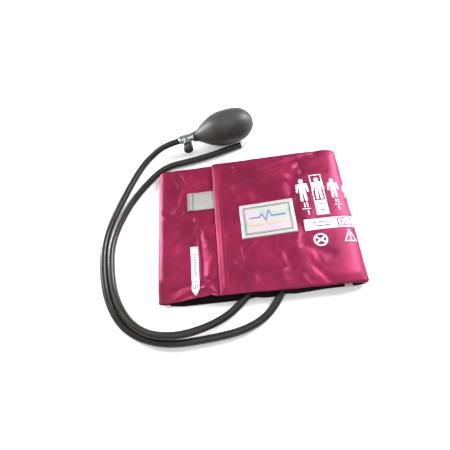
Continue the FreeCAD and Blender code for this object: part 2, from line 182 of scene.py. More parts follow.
def add_studio():
    """White floor, white surround and soft lights."""
    scene = bpy.context.scene
    scene.view_settings.view_transform = "Standard"
    world = bpy.data.worlds.new("studio")
    world.use_nodes = True
    sky = world.node_tree.nodes["Background"]
    sky.inputs["Color"].default_value = (1, 1, 1, 1)
    sky.inputs["Strength"].default_value = 0.46
    scene.world = world
    floor_mesh = bpy.data.meshes.new("floor")
    reach = 3.0
    corners = [(-reach, -reach, 0), (reach, -reach, 0), (reach, reach, 0), (-reach, reach, 0)]
    floor_mesh.from_pydata(corners, [], [(0, 1, 2, 3)])
    floor = bpy.data.objects.new("floor", floor_mesh)
    floor.location = (0, 0, -0.0002)
    scene.collection.objects.link(floor)
    paper, tree, surface = new_material("white_paper", (0.74, 0.74, 0.74, 1), 0.9)
    surface.inputs["Specular IOR Level"].default_value = 0.1
    surface.inputs["Emission Color"].default_value = (1, 1, 1, 1)
    surface.inputs["Emission Strength"].default_value = 0.1
    bump_with(tree, surface, noise_height(tree, 900, "Object"), 0.05, 0.0002)
    floor_mesh.materials.append(paper)
    add_light("overhead", (0.0, -0.3, 1.4), (0, 0, 0), 0.9, 0.7, 7.5)
    add_light("right_strip", (0.85, 0.5, 0.6), (0.1, 0, 0), 0.3, 0.7, 32, (1.0, 0.95, 1.0))
    add_light("left_strip", (-0.9, 0.45, 0.26), (-0.1, 0, 0), 0.2, 0.8, 30, (1.0, 0.95, 0.98))
    add_light("front_fill", (-0.3, -1.0, 0.9), (0, 0, 0), 0.9, 0.6, 2)


# Materials

def new_material(name, colour, roughness, **settings):
    """Material of one Principled shader, with its node tree."""
    material = bpy.data.materials.new(name)
    material.use_nodes = True
    tree = material.node_tree
    surface = tree.nodes["Principled BSDF"]
    surface.inputs["Base Color"].default_value = colour
    surface.inputs["Roughness"].default_value = roughness
    for key, value in settings.items():
        surface.inputs[key.replace("_", " ")].default_value = value
    return material, tree, surface


def add_node(tree, kind, **settings):
    """New shader node with its settings."""
    node = tree.nodes.new(kind)
    for key, value in settings.items():
        setattr(node, key, value)
    return node


def coordinates(tree, source, scale=(1, 1, 1)):
    """Texture place from UV (metres along the cloth) or Object, stretched by scale."""
    place = add_node(tree, "ShaderNodeTexCoord")
    mapping = add_node(tree, "ShaderNodeMapping")
    mapping.inputs["Scale"].default_value = scale
    tree.links.new(place.outputs[source], mapping.inputs["Vector"])
    return mapping.outputs["Vector"]


def noise_height(tree, scale, source, stretch=(1, 1, 1), detail=3):
    """Noise value over the surface."""
    texture = add_node(tree, "ShaderNodeTexNoise")
    texture.inputs["Scale"].default_value = scale
    texture.inputs["Detail"].default_value = detail
    tree.links.new(coordinates(tree, source, stretch), texture.inputs["Vector"])
    return texture.outputs["Fac"]


def weave_height(tree, pitch, diagonal=False):
    """Height of a plain weave, or of a twill if diagonal, with threads a pitch apart in metres."""
    turns = 2 * math.pi / pitch
    split = add_node(tree, "ShaderNodeSeparateXYZ")
    tree.links.new(coordinates(tree, "UV", (turns, turns, turns)), split.inputs[0])
    waves = []
    for axis in range(2):
        wave = add_node(tree, "ShaderNodeMath", operation="SINE")
        source = split.outputs[axis]
        if diagonal and axis == 0:
            shear = add_node(tree, "ShaderNodeMath", operation="ADD")
            tree.links.new(split.outputs[0], shear.inputs[0])
            tree.links.new(split.outputs[1], shear.inputs[1])
            source = shear.outputs[0]
        tree.links.new(source, wave.inputs[0])
        waves.append(wave)
    product = add_node(tree, "ShaderNodeMath", operation="MULTIPLY_ADD")
    product.inputs[2].default_value = 0.5
    tree.links.new(waves[0].outputs[0], product.inputs[0])
    tree.links.new(waves[1].outputs[0], product.inputs[1])
    return product.outputs[0]


def bump_with(tree, surface, height, strength, distance, below=None):
    """Bump from a height value, on top of an earlier bump if there is one."""
    bump = add_node(tree, "ShaderNodeBump")
    bump.inputs["Strength"].default_value = strength
    bump.inputs["Distance"].default_value = distance
    tree.links.new(height, bump.inputs["Height"])
    if below:
        tree.links.new(below, bump.inputs["Normal"])
    tree.links.new(bump.outputs["Normal"], surface.inputs["Normal"])
    return bump.outputs["Normal"]


def colour_between(tree, surface, value, stops, socket="Base Color"):
    """Colour, or grey for roughness, that follows a value through its stops."""
    ramp = add_node(tree, "ShaderNodeValToRGB")
    while len(ramp.color_ramp.elements) < len(stops):
        ramp.color_ramp.elements.new(0.5)
    for element, (place, colour) in zip(ramp.color_ramp.elements, stops):
        element.position = place
        element.color = colour if hasattr(colour, "__len__") else (colour, colour, colour, 1)
    tree.links.new(value, ramp.inputs["Fac"])
    tree.links.new(ramp.outputs["Color"], surface.inputs[socket])


def cloth_material(name, dark, light, roughness, pitch, weave_strength=0.25, **settings):
    """Woven cloth: mottled colour, uneven gloss and a fine weave, with its threads a pitch apart."""
    material, tree, surface = new_material(name, srgb(*light), roughness, **settings)
    colour_between(tree, surface, noise_height(tree, 26, "UV"), [(0.3, srgb(*dark)), (0.72, srgb(*light))])
    gloss = noise_height(tree, 60, "UV", (1, 2.5, 1))
    colour_between(tree, surface, gloss, [(0.3, roughness - 0.05), (0.75, roughness + 0.06)], "Roughness")
    soft = bump_with(tree, surface, noise_height(tree, 140, "UV", (1, 1.8, 1)), 0.12, 0.0006)
    bump_with(tree, surface, weave_height(tree, pitch), weave_strength, 0.0001, soft)
    return material


def rubber_material(name, dark, light, roughness):
    """Dusty moulded rubber."""
    material, tree, surface = new_material(name, srgb(*light), roughness, Specular_IOR_Level=0.35,
                                           Sheen_Weight=0.03, Sheen_Roughness=0.4)
    mottle = noise_height(tree, 45, "Object", detail=6)
    colour_between(tree, surface, mottle, [(0.3, srgb(*dark)), (0.75, srgb(*light))])
    colour_between(tree, surface, noise_height(tree, 120, "Object"),
                   [(0.3, roughness - 0.06), (0.75, roughness + 0.07)], "Roughness")
    bump_with(tree, surface, noise_height(tree, 900, "Object"), 0.12, 0.0002)
    return material


def metal_material(name, colour, roughness, stretch):
    """Turned or rolled metal with fine tool marks."""
    material, tree, surface = new_material(name, srgb(*colour), roughness, Metallic=1.0)
    marks = noise_height(tree, 500, "Object", stretch)
    colour_between(tree, surface, marks, [(0.3, roughness * 0.7), (0.75, roughness * 1.4)], "Roughness")
    bump_with(tree, surface, marks, 0.06, 0.0001)
    return material


def plastic_material(name, colour, roughness):
    """Moulded plastic with a fine grain."""
    light = srgb(*colour)
    material, tree, surface = new_material(name, light, roughness)
    dark = tuple(0.8 * value for value in light[:3]) + (1,)
    colour_between(tree, surface, noise_height(tree, 150, "Object"), [(0.3, dark), (0.7, light)])
    bump_with(tree, surface, noise_height(tree, 1500, "Object"), 0.08, 0.0001)
    return material


def label_satin():
    """Woven silver satin, with patches of painted iridescent sheen in pale green, blue and pink spread by
    noise over it.
    """
    material, tree, surface = new_material("label_satin_cloth", srgb(176, 174, 170), 0.45, Metallic=0.2)
    # Painted iridescent sheen: noise patches of pale green, blue and pink in the base colour, fixed on the
    # cloth whatever the light
    painted_sheen_patches = noise_height(tree, 30, "UV", (1, 1.6, 1))
    colour_between(tree, surface, painted_sheen_patches, [(0.3, srgb(124, 142, 150)), (0.45, srgb(150, 160, 148)),
                                          (0.6, srgb(166, 152, 160)), (0.75, srgb(146, 140, 162))])
    bump_with(tree, surface, weave_height(tree, 0.0006, diagonal=True), 0.3, 0.0001)
    return material


def wine_nylon():
    """Shiny burgundy nylon, pink where it turns away."""
    return cloth_material("burgundy_nylon_cloth", (90, 17, 41), (120, 25, 56), 0.34, 0.00055, Metallic=0.3,
                          Sheen_Weight=0.08, Sheen_Roughness=0.35, Sheen_Tint=srgb(236, 96, 168),
                          Specular_Tint=srgb(255, 150, 200))


# Slot: name, dark and light colour, roughness, and for cloth its pitch and how strong its weave shows
CLOTHS = {
    "burgundy_thread": ("burgundy_thread_twist", (120, 22, 52), (150, 34, 70), 0.6, 0.0004),
    "grey_tape": ("index_tape_cloth", (150, 158, 144), (186, 192, 176), 0.6, 0.0009, 0.5),
    "grey_webbing": ("webbing", (104, 105, 101), (132, 133, 128), 0.62, 0.0016, 0.9),
    "white_label": ("tag_cloth", (214, 212, 214), (240, 238, 240), 0.5, 0.0005),
    "white_print": ("white_ink", (226, 220, 224), (248, 246, 248), 0.55, 0.00055),
    "grey_print": ("grey_ink", (58, 54, 60), (84, 78, 86), 0.6, 0.0005),
    "label_print": ("blue_ink", (52, 74, 132), (78, 104, 160), 0.5, 0.0006),
    "orange_print": ("orange_ink", (206, 140, 84), (226, 160, 104), 0.5, 0.0006),
    "hook_tape": ("hook_cloth", (74, 14, 34), (104, 22, 50), 0.7, 0.0012, 1.0),
}
RUBBERS = {
    "bladder_rubber": ("bladder_sheet", (40, 38, 38), (60, 58, 58), 0.5),
    "black_rubber": ("black_moulding", (24, 24, 25), (40, 40, 41), 0.55),
    "tube_rubber": ("tube_skin", (16, 16, 13), (28, 28, 24), 0.36),
    "bulb_rubber": ("bulb_skin", (35, 36, 35), (52, 53, 51), 0.5),
    "soft_seat": ("seat_pad", (70, 68, 62), (96, 92, 86), 0.5),
}
PLASTICS = {
    "white_plastic": ("white_moulding", (214, 214, 208), 0.4),
    "black_plastic": ("black_knob", (46, 44, 46), 0.26),
}
METALS = {
    "brass": ("brass_turned", (196, 170, 110), 0.3, (1, 6, 1)),
    "chrome": ("chrome_turned", (158, 166, 164), 0.2, (1, 6, 6)),
    "steel": ("rolled_steel", (176, 180, 180), 0.3, (6, 1, 1)),
}


def make_materials():
    """Material of each slot of the record, and the orange ink of the label."""
    made = {
        "burgundy_nylon": wine_nylon(),
        "black_lining": cloth_material("black_lining_cloth", (9, 4, 5), (19, 10, 12), 0.85, 0.0008, 0.4,
                                       Specular_IOR_Level=0.2),
        "label_satin": label_satin(),
        "loop_pile": cloth_material("loop_cloth", (110, 24, 52), (140, 34, 66), 0.85, 0.001, 0.8,
                                    Sheen_Weight=0.5),
    }
    for make, recipes in ((cloth_material, CLOTHS), (rubber_material, RUBBERS),
                          (plastic_material, PLASTICS), (metal_material, METALS)):
        for slot_name, recipe in recipes.items():
            made[slot_name] = make(*recipe)
    return made


def set_material(piece, slot_name):
    """Give a piece the material of its slot."""
    piece.data.materials.clear()
    piece.data.materials.append(materials[slot_name])


# Mesh building

def mesh_piece(name, vertices, faces, uvs=None):
    """Smooth-shaded mesh object, in metres."""
    mesh = bpy.data.meshes.new(name)
    mesh.from_pydata(vertices, [], faces)
    if uvs:
        layer = mesh.uv_layers.new(name="UVMap")
        for loop in mesh.loops:
            layer.data[loop.index].uv = uvs[loop.vertex_index]
    mesh.polygons.foreach_set("use_smooth", [True] * len(mesh.polygons))
    piece = bpy.data.objects.new(name, mesh)
    bpy.context.scene.collection.objects.link(piece)
    return piece


def grid_faces(rows, columns, flipped=False):
    """Four-sided faces of a grid of vertices that is stored row after row."""
    faces = []
    for row in range(rows - 1):
        for column in range(columns - 1):
            first = row * columns + column
            corners = (first, first + 1, first + 1 + columns, first + columns)
            faces.append(corners[::-1] if flipped else corners)
    return faces


def apply_modifiers(piece):
    """Keep the shape that the modifiers give, and drop them."""
    graph = bpy.context.evaluated_depsgraph_get()
    mesh = bpy.data.meshes.new_from_object(piece.evaluated_get(graph), preserve_all_data_layers=True,
                                           depsgraph=graph)
    piece.modifiers.clear()
    piece.data = mesh


def thicken(piece, thickness, outward=False):
    """Turn an open sheet into closed cloth, inward from its face or outward."""
    solid = piece.modifiers.new("solid", "SOLIDIFY")
    solid.thickness = thickness * MM
    solid.offset = 1.0 if outward else -1.0
    solid.use_even_offset = False
    apply_modifiers(piece)


NYLON_BEHAVIOUR = {
    "quality": 6, "mass": 0.12, "tension_stiffness": 25, "compression_stiffness": 25, "shear_stiffness": 12,
    "bending_stiffness": 0.35, "tension_damping": 8, "compression_damping": 8,
}


class Sheet:
    """Cloth grid. Its columns follow a path in x and z, and its rows lie across the cuff."""

    def __init__(self, name, rows, path_at, outward_turn, zero_x=None):
        """Grid of path_at(y) at each row, with arc lengths from zero_x if it is given."""
        self.name = name
        self.rows = rows
        self.points = []
        self.normals = []
        self.arcs = []
        self.flipped = outward_turn < 0
        for y in rows:
            path = path_at(y)
            neighbours = zip(path[:1] + path[:-1], path[1:] + path[-1:])
            across = [Vector((before_z - after_z, 0, after_x - before_x)).normalized()
                      for (before_x, before_z), (after_x, after_z) in neighbours]
            arc = [0.0]
            for before, after in zip(path, path[1:]):
                arc.append(arc[-1] + math.dist(before, after))
            if zero_x is not None:
                nearest = min(range(len(path) // 2), key=lambda index: abs(path[index][0] - zero_x))
                arc = [value - arc[nearest] for value in arc]
            self.arcs.append(arc)
            self.points.append([Vector((x, y, z)) for x, z in path])
            self.normals.append([normal * outward_turn for normal in across])
        self.columns = len(self.points[0])

    def displace(self, offset, first_column=0):
        """Move each point from a column on by offset(point): outward, or along it if it is a vector."""
        for points, normals in zip(self.points, self.normals):
            for column in range(first_column, self.columns):
                moved = offset(points[column])
                step = moved if isinstance(moved, Vector) else normals[column] * moved
                points[column] = points[column] + step

    def build(self):
        """Single-sided mesh object of the grid."""
        vertices = [point * MM for row in self.points for point in row]
        uvs = [(arc * MM, y * MM) for y, row in zip(self.rows, self.arcs) for arc in row]
        return mesh_piece(self.name, vertices, grid_faces(len(self.rows), self.columns, self.flipped), uvs)

    def buckle(self, is_free, first_column, grow, pressure, cap, frames):
        """Cloth simulation: the free part, from a column on, has spare cloth that buckles into wrinkles."""
        piece = self.build()
        pins = piece.vertex_groups.new(name="held")
        for row, points in enumerate(self.points):
            for column, point in enumerate(points):
                free = is_free(point) if column >= first_column else 0.0
                pins.add([row * self.columns + column], 1.0 - free, "REPLACE")
        cloth = piece.modifiers.new("cloth", "CLOTH")
        settings = {**NYLON_BEHAVIOUR, "vertex_group_mass": "held", "shrink_min": -grow,
                    "use_pressure": True, "uniform_pressure_force": pressure}
        for key, value in settings.items():
            setattr(cloth.settings, key, value)
        cloth.settings.effector_weights.gravity = 0
        cloth.point_cache.frame_start = 1
        cloth.point_cache.frame_end = frames
        for number in range(1, frames + 1):
            bpy.context.scene.frame_set(number)
        apply_modifiers(piece)
        bpy.context.scene.frame_set(1)
        for index, vertex in enumerate(piece.data.vertices):
            row, column = divmod(index, self.columns)
            rest = self.points[row][column]
            move = vertex.co / MM - rest
            if move.length > cap:
                move *= cap / move.length
            self.points[row][column] = rest + move
        bpy.data.objects.remove(piece)

    def lining(self, name, first_column, depth_at):
        """A second sheet inside this one, a little narrower, that follows its wrinkles."""
        copy = object.__new__(Sheet)
        copy.name = name
        copy.flipped = self.flipped
        copy.columns = self.columns - first_column
        narrow = (HALF_WIDTH - 0.7) / HALF_WIDTH
        copy.rows = [y * narrow for y in self.rows]
        copy.arcs = [arc[first_column:] for arc in self.arcs]
        copy.normals = [normals[first_column:] for normals in self.normals]
        copy.points = []
        for points, normals in zip(self.points, self.normals):
            row = []
            for point, normal in zip(points[first_column:], normals[first_column:]):
                inner = point - normal * depth_at(point)
                row.append(Vector((inner.x, inner.y * narrow, inner.z)))
            copy.points.append(row)
        return copy

    def place(self, along, y, lift=0.0):
        """Point on the sheet, in millimetres, at an arc length from its zero and a y, lifted off it."""
        y = min(max(y, self.rows[0]), self.rows[-1])
        row = min(max(bisect.bisect_right(self.rows, y) - 1, 0), len(self.rows) - 2)
        share = (y - self.rows[row]) / (self.rows[row + 1] - self.rows[row])
        ends = []
        normals = []
        for index in (row, row + 1):
            arc = self.arcs[index]
            column = min(max(bisect.bisect_right(arc, along) - 1, 0), self.columns - 2)
            part = (along - arc[column]) / (arc[column + 1] - arc[column])
            points = self.points[index]
            ends.append(points[column].lerp(points[column + 1], part))
            normals.append(self.normals[index][column].lerp(self.normals[index][column + 1], part))
        return ends[0].lerp(ends[1], share) + normals[0].lerp(normals[1], share).normalized() * lift


def cloth_piece(sheet, thickness, slot_name, outward=False):
    """Mesh of a sheet, thickened and in its material."""
    piece = sheet.build()
    thicken(piece, thickness, outward)
    set_material(piece, slot_name)
    return piece


def stand_for(piece, body, *nodes):
    """Let a piece ride on a body, in place of CAD nodes."""
    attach(piece, body)
    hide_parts(*nodes)


def turn_with(piece):
    """Bake a piece's transform into its mesh; it is tied to no body."""
    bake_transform(piece)


def fine_rows(half_width, pitch=GRID_STEP):
    """Row places across the cuff, closer together near the two hems."""
    hem = [half_width - gap for gap in (0, 0.35, 0.8, 1.4, 2.1, 3.0, 4.2)]
    inside = steps(-hem[-1], hem[-1], pitch)
    return [-y for y in hem[:-1]] + inside + hem[-2::-1]


def end_inset(y):
    """How far the rounded plan corners pull a fold in at this y."""
    over = abs(y) - (HALF_WIDTH - CORNER_RADIUS)
    if over <= 0:
        return 0.0
    return CORNER_RADIUS - math.sqrt(max(CORNER_RADIUS ** 2 - min(over, CORNER_RADIUS) ** 2, 0))


def quarter_turn(start_x, rim, middle_z, start_z, count):
    """Quarter of an ellipse in x and z, from its flat part out to the fold's rim."""
    points = []
    for index in range(count + 1):
        turn = math.radians(90 * index / count)
        points.append((start_x + (rim - start_x) * math.sin(turn),
                       middle_z + (start_z - middle_z) * math.cos(turn)))
    return points


def ridge_height(ridges, x, y):
    """Sum of soft ridges and valleys, each along a line of points, with a width and a height."""
    total = 0.0
    for line, width, height in ridges:
        nearest = 1e9
        for (ax, ay), (bx, by) in zip(line, line[1:]):
            dx, dy = bx - ax, by - ay
            share = min(max(((x - ax) * dx + (y - ay) * dy) / (dx * dx + dy * dy), 0), 1)
            nearest = min(nearest, math.hypot(x - ax - dx * share, y - ay - dy * share))
        if nearest < 3 * width:
            total += height * math.exp(-(nearest / width) ** 2)
    return total


def hem_pucker(x, y, seed, height=0.5):
    """Short puckers that run in from the front and back hems."""
    fade = smooth_step((abs(y) - HALF_WIDTH + 16) / 14)
    if fade == 0:
        return 0.0
    return height * fade * noise.noise(Vector((x / 7.5, math.copysign(3.0, y) + y / 40, seed)))


def edge_curl(y, depth, reach=EDGE_CURL):
    """Inward roll of the cloth at the front and back edges."""
    over = min(max((abs(y) - HALF_WIDTH + reach) / reach, 0), 1)
    return depth * (1 - math.sqrt(1 - over * over))


# Outer flap and right fold

OUTER_RIDGES = [
    ([(-15.6, 46.3), (26.5, 48.4), (55.2, 50.2)], 3.6, -1.6),
    ([(-15.6, 52.3), (26.5, 54.4), (60.0, 57.0)], 3.2, 1.0),
    ([(-13.3, 72.5), (11.5, 63.4), (29.0, 67.1), (54.1, 73.6), (84.3, 80.1)], 3.6, -2.1),
    ([(-13.3, 66.0), (11.5, 57.0), (33.0, 60.5), (58.0, 67.0)], 3.4, 1.1),
    ([(-31.0, 81.0), (20.0, 60.0), (82.0, 34.0)], 4.2, 1.1),
    ([(-27.4, 74.2), (-14.1, 67.5)], 2.6, 1.4),
    ([(-26.0, 60.0), (-10.0, 57.0)], 2.6, -1.0),
    ([(-21.0, -50.9), (-13.8, -56.3), (3.9, -59.7), (25.7, -58.8)], 2.2, -1.4),
    ([(-20.0, -55.5), (-12.0, -60.5), (5.0, -63.9), (25.0, -63.0)], 2.6, 1.1),
    ([(-18.1, -33.3), (-16.2, -47.7)], 2.4, 1.0),
    ([(-20.4, -74.0), (-20.9, -85.0)], 2.4, 1.1),
    ([(43.6, -72.2), (49.0, -83.0)], 2.6, 1.1),
    ([(60.0, -66.0), (74.0, -84.0)], 3.0, -1.0),
    ([(52.0, -40.0), (78.0, -52.0)], 5.0, -0.8),
    ([(58.0, 62.0), (92.0, 54.0)], 3.0, -1.0),
    ([(-24.0, 28.0), (-19.0, -12.0)], 3.0, -0.6),
    ([(-6.0, -70.0), (-6.0, -85.0)], 7.0, 1.1),
    ([(26.0, -70.0), (26.0, -85.0)], 7.0, 1.0),
]


def slope_start(y):
    """x where the outer flap starts to fall towards the right fold."""
    return 84.0 + 0.09 * y


def outer_columns(start):
    """Column places over the flat of the outer flap, the same number at every y."""
    count = round((slope_start(0) - OUTER_EDGE_X - 1.0) / GRID_STEP)
    return [OUTER_EDGE_X + 1.0 + (start - OUTER_EDGE_X - 1.0) * index / count for index in range(count)]


def outer_path(y):
    """From the outer flap's free edge over the top, round the right fold and under to its seam."""
    start = slope_start(y)
    rim = HALF_LENGTH - end_inset(y)
    path = [(x, OUTER_TOP - 0.6 * smooth_step((-34.0 - x) / 8.0)) for x in outer_columns(start)]
    path += quarter_turn(start, rim, RIGHT_FOLD_Z, OUTER_TOP, 14)
    path += quarter_turn(RIGHT_FOLD_X - 4, rim, RIGHT_FOLD_Z, FLOOR_GAP, 8)[-2::-1]
    path.append((RIGHT_SEAM_X, FLOOR_GAP))
    return path


def outer_shape(point):
    """Wrinkles, puckers and the stitched hem of the outer flap."""
    if point.z < 8.8:
        return 0.25 * noise.noise(Vector((point.z / 9, point.y / 11, 4.0)))
    x, y = point.x, point.y
    fade = smooth_step((point.z - 8.8) / 3)
    height = ridge_height(OUTER_RIDGES, x, y) + hem_pucker(x, y, 1.5)
    height -= 0.45 * math.exp(-((x + 33.0) / 0.8) ** 2)
    height += 0.2 * smooth_step((-33.5 - x) / 2)
    height += 0.4 * noise.noise(Vector((x / 24, y / 30, 7.0)))
    height += 1.3 * smooth_step((HALF_WIDTH - abs(y)) / 12) * smooth_step((x + 40) / 6)
    return height * fade


def outer_pull(point):
    """Uneven free edge, and front and back edges drawn in near it."""
    uneven = 0.5 * noise.noise(Vector((point.y / 18, 0, 2)))
    return Vector((uneven, -0.9 * smooth_step((30 - point.x) / 60) * point.y / HALF_WIDTH, 0))


def clear_of_inner(point):
    """Lift where the flap would sink into the inner one. Less height where it meets the floor when open."""
    highest = OUTER_TOP + 0.5 + 0.035 * (RIGHT_FOLD_X - point.x)
    if point.z > highest:
        return Vector((0, 0, 0.8 * (highest - point.z)))
    if point.x > 24 or point.z < 9:
        return Vector((0, 0, 0))
    lowest = 12.1 - 0.6 * smooth_step((-34.0 - point.x) / 8.0)
    return Vector((0, 0, max(0.0, lowest - point.z)))


def hemmed_outer_path(y):
    """Path of the outer flap that starts with the hem turned under at its free edge."""
    flat = outer_path(y)
    edge_z = flat[0][1]
    hem = [(3.0, 1.5), (0.7, 1.5), (0.15, 1.15), (0.0, 0.7), (0.2, 0.2)]
    return [(OUTER_EDGE_X + in_from_edge, edge_z - down) for in_from_edge, down in hem] + flat


def outer_is_free(point):
    """How free the outer flap's cloth is to buckle: held at its fold, its hems and round the label."""
    near_label = abs(point.x - LABEL_CENTRE[0]) < 34 and abs(point.y - LABEL_CENTRE[1]) < 25
    if point.z < 9 or near_label:
        return 0.0
    return (smooth_step((80 - abs(point.y)) / 8) * smooth_step((point.z - 9) / 2)
            * smooth_step((88 - point.x) / 24))


def make_outer_cover():
    """Nylon of the outer flap and right fold. Returns its grid and the lining's."""
    cover = Sheet("outer_cover", fine_rows(HALF_WIDTH), hemmed_outer_path, 1, OUTER_EDGE_X + 1.0)
    cover.displace(outer_shape, OUTER_HEM_COLUMNS)
    cover.displace(outer_pull)
    cover.buckle(outer_is_free, 2 * OUTER_HEM_COLUMNS, 0.008, 0.15, 1.1, 14)
    cover.displace(clear_of_inner, OUTER_HEM_COLUMNS)
    lining = cover.lining("outer_lining_cloth", OUTER_HEM_COLUMNS + 1, lambda point: LINING_DEPTH
                          + 1.3 * smooth_step((RIGHT_FOLD_Z - point.z) / 6))
    cover.displace(lambda point: -edge_curl(point.y, 1.3), OUTER_HEM_COLUMNS)
    piece = cloth_piece(cover, NYLON_THICKNESS, "burgundy_nylon")
    turn_with(piece)
    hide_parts("outer_flap_shell", "right_fold_shell")
    return cover, lining


def make_outer_lining(lining):
    """Black brushed lining on the arm side of the outer flap and inside the right fold."""
    piece = cloth_piece(lining, LINING_THICKNESS, "black_lining", outward=True)
    turn_with(piece)
    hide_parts("outer_flap_lining", "right_fold_lining")


# Inner flap and left fold

INNER_RIDGES = [
    ([(-101.6, 24.3), (-86.0, 15.5), (-70.6, 10.5)], 3.0, -1.2),
    ([(-101.0, 18.0), (-86.0, 9.5), (-70.6, 5.0)], 3.0, 0.9),
    ([(-85.2, 78.6), (-77.8, 62.3)], 3.0, -1.0),
    ([(-90.0, 76.0), (-84.0, 60.0)], 3.0, 0.8),
    ([(-52.0, -20.0), (-51.0, -72.0)], 6.0, 1.2),
    ([(-61.0, -10.0), (-60.0, -66.0)], 4.0, -0.8),
    ([(-89.8, -80.6), (-73.2, -77.0), (-58.1, -74.1), (-47.8, -79.8)], 2.4, 1.5),
    ([(-99.0, -74.2), (-75.1, -68.8), (-57.7, -66.2), (-44.0, -68.0)], 2.6, -1.5),
    ([(-56.0, -70.0), (-70.0, -77.0), (-86.0, -84.0)], 1.8, -0.9),
    ([(-58.0, -76.0), (-52.0, -85.0)], 2.4, 1.4),
    ([(-48.0, -74.0), (-45.0, -85.0)], 2.2, -1.4),
    ([(-6.0, -70.0), (-6.0, -85.0)], 7.0, 1.0),
]


def inner_drop(x, y):
    """How far the front left corner of the inner flap is pressed down."""
    across = smooth_step((-56 - y) / 28)
    along = 1 - smooth_step((x + 106) / 52)
    return 5.0 * across * along


def inner_path(y):
    """From the inner flap's free edge over the top, round the left fold and under to its seam."""
    rim = -HALF_LENGTH + end_inset(y)
    path = [(x, INNER_TOP) for x in steps(INNER_EDGE_X, LEFT_FOLD_X + 3, GRID_STEP)[:-1]]
    path += quarter_turn(LEFT_FOLD_X + 3, rim, LEFT_FOLD_Z, INNER_TOP, 12)
    path += quarter_turn(LEFT_FOLD_X + 2, rim, LEFT_FOLD_Z, FLOOR_GAP, 8)[-2::-1]
    path.append((LEFT_SEAM_X, FLOOR_GAP))
    return path


def inner_shape(point):
    """Wrinkles and puckers of the inner flap."""
    x, y = point.x, point.y
    if point.z < 7.5:
        return 0.3 * noise.noise(Vector((point.z / 9, y / 12, 9.0)))
    under_outer = smooth_step((x - OUTER_EDGE_X) / 10)
    height = ridge_height(INNER_RIDGES, x, y) + hem_pucker(x, y, 5.5, 0.6)
    height += 0.4 * noise.noise(Vector((x / 20, y / 26, 3.0)))
    return height * smooth_step((point.z - 7.5) / 2) * (1 - 0.75 * under_outer)


def settle_inner(point):
    """Press the front left corner down and draw the front edge in."""
    share = max(point.z - BASE_TOP, 0) / (INNER_TOP - BASE_TOP)
    pull = 2.6 * smooth_step((point.x + 108) / 56) * share * smooth_step(-point.y / 60)
    pull += 1.0 * share * smooth_step(point.y / 60)
    return Vector((0, -pull * point.y / HALF_WIDTH, -inner_drop(point.x, point.y) * share))


def inner_is_free(point):
    """How free the inner flap's cloth is to buckle: held under the outer flap, the strap and its hems."""
    under_strap = -78 < point.x < -32 and 18 < point.y < 53
    if point.z < 4.6 or point.x > -36 or under_strap:
        return 0.0
    return (smooth_step((80 - abs(point.y)) / 8) * smooth_step((point.z - 4.6) / 3)
            * smooth_step((point.x + 106) / 20))


def make_inner_cover():
    """Nylon of the inner flap and left fold. Returns its grid and the lining's."""
    cover = Sheet("inner_cover", fine_rows(HALF_WIDTH), inner_path, -1, INNER_EDGE_X)
    cover.displace(inner_shape)
    cover.displace(settle_inner)
    cover.buckle(inner_is_free, 3, 0.012, 0.1, 1.0, 12)
    lining = cover.lining("inner_lining_cloth", 1, lambda point: LINING_DEPTH
                          + 1.3 * smooth_step((3.6 - point.z) / 3.4)
                          + 0.5 * smooth_step((-58 - point.y) / 10))
    cover.displace(lambda point: -edge_curl(point.y, 1.2))
    piece = cloth_piece(cover, NYLON_THICKNESS, "burgundy_nylon")
    turn_with(piece)
    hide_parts("inner_flap_shell", "left_fold_shell")
    return cover, lining


def make_inner_lining(lining):
    """Black brushed lining under the inner flap and inside the left fold."""
    piece = cloth_piece(lining, LINING_THICKNESS, "black_lining", outward=True)
    turn_with(piece)
    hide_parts("inner_flap_lining", "left_fold_lining")


# Base layer

def tube_bulge(x, y):
    """Rise of the base lining where a tube runs in under it."""
    rise = 0.0
    for tube_x in (GAUGE_ROUTE[0][0], BULB_ROUTE[0][0]):
        rise += 5.5 * math.exp(-((x - tube_x) / 6.2) ** 2)
    return rise * smooth_step((-60 - y) / 12)


def base_overhang(x, y):
    """How far the base stands out in front of the two flaps."""
    middle = smooth_step((x + 110) / 30) * smooth_step((78 - x) / 70)
    return FRONT_OVERHANG * middle * smooth_step((-60 - y) / 20)


def base_lift(point):
    """Rise and fall of the base lining: over the tubes, in soft wrinkles and at its turned edge."""
    height = tube_bulge(point.x, point.y) - edge_curl(point.y, 1.9, 3.0)
    height += 0.25 * noise.noise(Vector((point.x / 16, point.y / 20, 1)))
    return Vector((0, 0, height))


def make_base_cover():
    """Nylon underside that the cuff rests on."""
    cover = Sheet("base_cover", fine_rows(HALF_WIDTH - 1.6, 6.0),
                  lambda y: [(x, FLOOR_GAP) for x in steps(RIGHT_SEAM_X, LEFT_SEAM_X, 6.0)], 1)
    piece = cloth_piece(cover, NYLON_THICKNESS, "burgundy_nylon")
    stand_for(piece, "cuff_base", "base_shell")


def make_base_lining():
    """Black lining on the arm side of the base, turned down over its front and back edges."""
    lining = Sheet("base_lining_cloth", fine_rows(HALF_WIDTH, 2.6),
                   lambda y: [(x, BASE_TOP) for x in steps(RIGHT_SEAM_X, LEFT_SEAM_X, 2.6)], -1)
    lining.displace(lambda point: Vector((0, -base_overhang(point.x, point.y), 0)))
    lining.displace(base_lift)
    piece = cloth_piece(lining, LINING_THICKNESS, "black_lining")
    stand_for(piece, "cuff_base", "base_lining")


def make_index_tape():
    """Pale woven tape on the arm side, whose end shows at the front edge."""
    rows = steps(-59, -85.8, 1.2)
    columns = steps(86, 94, 1.0)
    vertices, uvs = [], []
    for y in rows:
        drop = 1.3 * smooth_step((-83 - y) / 2.5)
        for x in columns:
            vertices.append(Vector((x, y, BASE_TOP + 0.3 - drop)) * MM)
            uvs.append((x * MM, y * MM))
    piece = mesh_piece("index_tape_end", vertices, grid_faces(len(rows), len(columns), True), uvs)
    thicken(piece, 0.3, outward=True)
    set_material(piece, "grey_tape")
    stand_for(piece, "cuff_base", "index_tape")


# Closure strips

